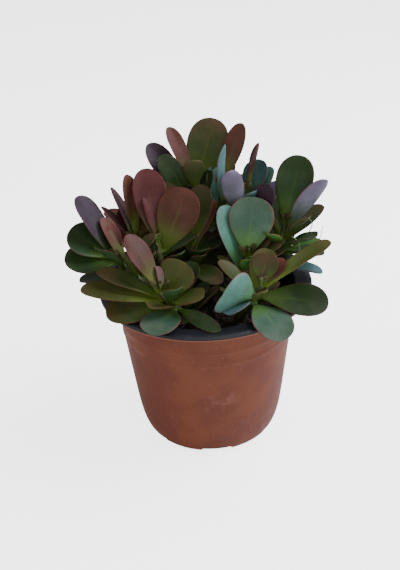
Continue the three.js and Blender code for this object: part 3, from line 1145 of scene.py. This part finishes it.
# ------------------------------------------------------------------------ pot
@dataclass
class NurseryPot:
    """The thermoformed pot: a drafted wall, a flat rim with a turned-down lip, a notched foot."""

    rim_radius: float
    height: float
    rim_inner_radius: float = 0.0504
    rim_thickness: float = 0.0012
    lip_drop: float = 0.0026
    line_height: float = 0.0008
    step_radius: float = 0.0562
    step_depth: float = 0.0004
    wall: float = 0.0012
    floor: float = 0.003
    facets: int = 216
    foot_draft_radius: float = 0.0413
    draft: float = 0.1135
    foot_tuck: float = 0.0032
    foot_roundness: float = 0.006
    raised_rings: tuple[tuple[float, float], ...] = ((0.075, 0.00045), (0.067, 0.00035))
    raised_ring_width: float = 0.0012
    notch_count: int = 6
    notch_turn: float = -86.5
    notch_width: float = 0.017
    notch_height: float = 0.0024
    notch_inner_radius: float = 0.032
    hole_radius: float = 0.0035
    hole_circle: float = 0.025

    def radius_at(self, height: np.ndarray) -> np.ndarray:
        """Give the wall's outer radius at a height, without its raised rings."""
        tuck = self.foot_tuck * np.exp(-height / self.foot_roundness)
        return self.foot_draft_radius + self.draft * height - tuck

    def profile(self) -> list[tuple[float, float, int]]:
        """Draw the pot's section from the middle of its base, up its outside and down its inside.

        Returns:
            Radius, height, and the layer of plastic from there on: 0 brown, 1 the line, 2 black.
        """
        top, rim = self.height, self.rim_radius
        points = [(0.012, 0.0, 0), (0.024, 0.0, 0), (self.notch_inner_radius - MM, 0.0, 0)]
        points += [(self.notch_inner_radius, 0.0, 0), (0.035, 0.0, 0), (0.0372, 0.0, 0), (0.0381, 0.0003, 0)]
        heights = np.concatenate([[0.0009, 0.0023, 0.0032, 0.0045], np.linspace(0.0065, 0.0895, 96)])
        for height in heights:
            bulge = sum(
                size * math.exp(-(((height - place) / self.raised_ring_width) ** 2))
                for place, size in self.raised_rings
            )
            points.append((float(self.radius_at(height)) + bulge, float(height), 0))
        under, inner = top - self.rim_thickness, rim - self.wall
        lip, bevel = top - self.lip_drop, 0.0003
        points += [(0.0519, under - 0.0002, 0), (0.0526, under, 0)]
        points += [(inner - bevel, under, 0), (inner, under - bevel, 0)]
        points += [(inner, lip + bevel, 0), (inner + bevel, lip, 1)]
        points += [(rim - bevel, lip, 1), (rim, lip + bevel, 1)]
        points += [(rim, lip + self.line_height, 2), (rim, top - bevel, 2), (rim - bevel, top, 2)]
        points += [(self.step_radius + bevel, top, 2), (self.step_radius - bevel, top - self.step_depth, 2)]
        points += [(self.rim_inner_radius + 0.0008, top - self.step_depth, 2)]
        points += [(self.rim_inner_radius + 0.0002, top - self.step_depth - 0.0003, 2)]
        for height in np.linspace(under - 0.0004, self.floor + 0.002, 30):
            points.append((float(self.radius_at(height)) - self.wall, float(height), 2))
        points += [(0.0375, self.floor + 0.0006, 2), (0.0362, self.floor, 2), (0.02, self.floor, 2)]
        return points

    def build(self) -> bpy.types.Object:
        """Make the pot's piece.

        Returns:
            The piece.
        """
        profile = self.profile()
        angles = np.linspace(0, 2 * np.pi, self.facets, endpoint=False)
        radii = np.array([point[0] for point in profile])[:, None]
        heights = np.array([point[1] for point in profile])[:, None]
        level = np.broadcast_to(heights, (len(profile), self.facets))
        rings = np.stack([radii * np.cos(angles), radii * np.sin(angles), level], -1)
        rings = self.notched(rings, angles)
        middle = np.array([0.0, 0.0, 1.0])
        patch = stitched(rings, middle * 0.0, middle * self.floor)
        patch.zones = self.zones([point[2] for point in profile])
        materials = [TERRACOTTA.material(), LIP_LINE.material(), BLACK_LAYER.material()]
        pot = make_object("nursery_pot", patch, materials)
        self.drill(pot)
        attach(pot, BODY)
        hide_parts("pot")
        log.info("nursery_pot: %d faces", len(pot.data.polygons))
        return pot

    def zones(self, layers: list[int]) -> list[int]:
        """Give each face the layer of plastic that its ring starts."""
        around = [layers[0], *layers[:-1], layers[-1]]
        return around * self.facets

    def notched(self, rings: np.ndarray, angles: np.ndarray) -> np.ndarray:
        """Raise the base's edge at each of the foot's notches.

        Args:
            rings: The pot's corners.
            angles: The angle of each corner round a ring.

        Returns:
            The corners with the notches in them.
        """
        step = 2 * np.pi / self.notch_count
        away = (angles - math.radians(self.notch_turn) + step / 2) % step - step / 2
        radii = np.linalg.norm(rings[..., :2], axis=-1)
        inside = np.clip((self.notch_width / 2 + 0.0006 - radii * np.abs(away)) / 0.0012, 0, 1)
        reach = np.clip((radii - self.notch_inner_radius + MM) / MM, 0, 1)
        raised = self.notch_height * inside * reach
        low = rings[..., 2] < self.notch_height
        rings[..., 2] = np.where(low, np.maximum(rings[..., 2], raised), rings[..., 2])
        return rings

    def drill(self, pot: bpy.types.Object) -> None:
        """Cut the drain holes through the pot's floor."""
        angle = np.linspace(0, 2 * np.pi, 20, endpoint=False)
        cutters = []
        for number in range(self.notch_count):
            turn = math.radians(self.notch_turn) + number * 2 * np.pi / self.notch_count
            centre = np.array([math.cos(turn), math.sin(turn), 0.0]) * self.hole_circle
            circle = np.stack([np.cos(angle), np.sin(angle), 0 * angle], 1) * self.hole_radius + centre
            reach = np.array([0.0, 0.0, 2 * self.floor])
            ends = np.array([circle - reach, circle + reach])
            cutters.append(stitched(ends, centre - reach, centre + reach))
        cutter = make_object("drain_cutter", joined(cutters), [BLACK_LAYER.material()])
        cut = pot.modifiers.new("drain_holes", "BOOLEAN")
        cut.operation = "DIFFERENCE"
        cut.object = cutter
        cut.solver = "EXACT"
        view = bpy.context.evaluated_depsgraph_get()
        view.update()
        drilled = bpy.data.meshes.new_from_object(pot.evaluated_get(view))
        pot.modifiers.clear()
        pot.data = drilled
        bpy.data.objects.remove(cutter)


# ------------------------------------------------------------------------ potting mix
@dataclass
class PottingMix:
    """The mix: a lumpy dished top with crumbs and bark on it, and a plug that fills the pot."""

    pot: NurseryPot
    low: float
    top: float
    gap: float = 0.0004
    dish: float = 0.0025
    lump: float = 0.0014
    facets: int = 144
    crumb_count: int = 420

    def surface(self, across: float, along: float) -> float:
        """Give the height of the mix at a place in the pot."""
        radius = math.hypot(across, along)
        edge = float(self.pot.radius_at(np.array(self.top))) - self.pot.wall
        dished = self.top - self.dish * (1 - min(1.0, radius / edge) ** 3)
        rough = noise.fractal(Vector((across, along, 0.0)) * 150, 0.8, 2.1, 4)
        return dished + self.lump * (rough - 0.3)

    def build(self) -> None:
        """Make the mix and the crumbs on it."""
        inner = self.pot.wall + self.gap
        angles = np.linspace(0, 2 * np.pi, self.facets, endpoint=False)
        rings = []
        for radius in (0.018, 0.0355):
            rings.append([(radius * math.cos(a), radius * math.sin(a), self.low) for a in angles])
        for height in np.linspace(self.low + 0.002, self.top - 0.004, 12):
            radius = float(self.pot.radius_at(height)) - inner
            rings.append([(radius * math.cos(a), radius * math.sin(a), height) for a in angles])
        widest = float(self.pot.radius_at(np.array(self.top - 0.003))) - inner
        for share in np.linspace(1.0, 0.02, 44):
            places = [(widest * share * math.cos(a), widest * share * math.sin(a)) for a in angles]
            rings.append([(x, y, self.surface(x, y)) for x, y in places])
        start, end = np.array([0.0, 0.0, self.low]), np.array([0.0, 0.0, self.surface(0.0, 0.0)])
        patch = stitched(np.array(rings), start, end)
        add_piece("potting_mix_plug", patch, [MixFinish().material()], ("potting_mix",))
        crumb_finish = MixFinish("1c1611", "54402c")
        add_piece("potting_mix_crumbs", self.crumbs(widest), [crumb_finish.material()])

    def crumbs(self, reach: float) -> Patch:
        """Scatter crumbs and bits of bark over the mix.

        Args:
            reach: How far from the pot's middle they lie.

        Returns:
            All the crumbs as one patch.
        """
        draw = Random("crumbs")
        angle = np.linspace(0, 2 * np.pi, 6, endpoint=False)
        patches = []
        for _ in range(self.crumb_count):
            size = draw.uniform(0.5, 1.5) * MM * draw.choice([1, 1, 1.7])
            shape = np.array([size, size * draw.uniform(0.5, 0.9), size * draw.uniform(0.35, 0.7)])
            rings = []
            for level in (-0.6, 0.5):
                girth = [draw.uniform(0.7, 1.0) for _ in angle]
                rings.append(np.stack([np.cos(angle) * girth, np.sin(angle) * girth, 0 * angle + level], 1))
            turned = Matrix.Rotation(draw.uniform(0, 6.28), 3, "Z")
            spin = turned @ Matrix.Rotation(draw.uniform(-0.5, 0.5), 3, "X")
            away, turn = (reach - 2 * MM) * math.sqrt(draw.uniform(0, 1)), draw.uniform(0, 2 * math.pi)
            across, along = away * math.cos(turn), away * math.sin(turn)
            rest = np.array([across, along, self.surface(across, along) + 0.2 * size])
            turned = np.array(spin)
            ends = [turned @ (shape * [0, 0, level]) + rest for level in (-0.9, 0.8)]
            patches.append(stitched((np.array(rings) * shape) @ turned.T + rest, *ends))
        return joined(patches)


# ------------------------------------------------------------------------ studio
@dataclass
class Studio:
    """The pale floor, the soft lights and the camera."""

    target: tuple[float, float, float] = (-0.0031, 0.0, 0.0893)
    place: tuple[float, float, float] = (0.0, -0.398, 0.3105)
    roll: float = -2.77
    lens: float = 50.53
    floor_size: float = 6.0

    def build(self) -> None:
        """Set up the floor, the lights and the camera."""
        self.floor()
        self.light("key", (0.75, 0.10, 0.85), 0.8, 22.0, (0.86, 0.93, 1.0))
        self.light("left_fill", (-0.9, -0.35, 0.6), 0.8, 3.5, (1.0, 0.92, 0.84))
        self.light("front_fill", (0.25, -1.1, 0.45), 0.9, 6.0, (1.0, 0.98, 0.96))
        self.sky(0.48)
        self.camera()

    def floor(self) -> None:
        """Lay the floor under the pot."""
        half = self.floor_size / 2
        corners = np.array([(-half, -half, 0.0), (half, -half, 0.0), (half, half, 0.0), (-half, half, 0.0)])
        floor = make_object("studio_floor", Patch(corners, [(0, 1, 2, 3)]), [FloorFinish().material()])

    def light(
        self, name: str, place: tuple[float, ...], size: float, power: float, tint: tuple[float, ...]
    ) -> None:
        """Hang one soft lamp that faces the plant.

        Args:
            name: The lamp's name.
            place: Where it hangs.
            size: The side of its square face.
            power: Its power in watts.
            tint: Its colour.
        """
        lamp = bpy.data.lights.new(name, "AREA")
        lamp.size = size
        lamp.energy = power
        lamp.color = tint
        made = bpy.data.objects.new(name, lamp)
        made.location = place
        made.rotation_euler = (Vector(self.target) - Vector(place)).to_track_quat("-Z", "Y").to_euler()
        bpy.context.scene.collection.objects.link(made)

    def sky(self, strength: float) -> None:
        """Fill the room with even pale light."""
        world = bpy.data.worlds.new("room")
        world.use_nodes = True
        background = world.node_tree.nodes["Background"]
        background.inputs["Color"].default_value = (1.0, 1.0, 1.0, 1.0)
        background.inputs["Strength"].default_value = strength
        bpy.context.scene.world = world

    def camera(self) -> None:
        """Stand the camera a little above the plant, looking down at it."""
        lens = bpy.data.cameras.new("camera")
        lens.lens = self.lens
        lens.clip_start = 0.01
        made = bpy.data.objects.new("camera", lens)
        look = (Vector(self.target) - Vector(self.place)).to_track_quat("-Z", "Y")
        made.rotation_mode = "QUATERNION"
        made.rotation_quaternion = look @ Matrix.Rotation(math.radians(self.roll), 3, "Z").to_quaternion()
        made.location = self.place
        bpy.context.scene.collection.objects.link(made)
        bpy.context.scene.camera = made


def main() -> None:
    """Build the plant in its pot, and the studio round it."""
    logging.basicConfig(level=logging.INFO, format="%(message)s")
    low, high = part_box("pot")
    pot = NurseryPot(rim_radius=high.x, height=high.z)
    pot.build()
    mix_low, mix_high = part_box("potting_mix")
    PottingMix(pot, low=mix_low.z, top=mix_high.z).build()
    stems = {name: Stem(name) for name in LARGE_LEAF_TONES}
    for stem in stems.values():
        stem.build()
    crown = Crown(stems, pot.rim_radius, pot.height)
    crown.large_leaves()
    crown.young_leaves()
    crown.low_leaves()
    crown.buds()
    Threads(stems["right"]).build()
    Studio().build()


if __name__ == "__main__":
    main()
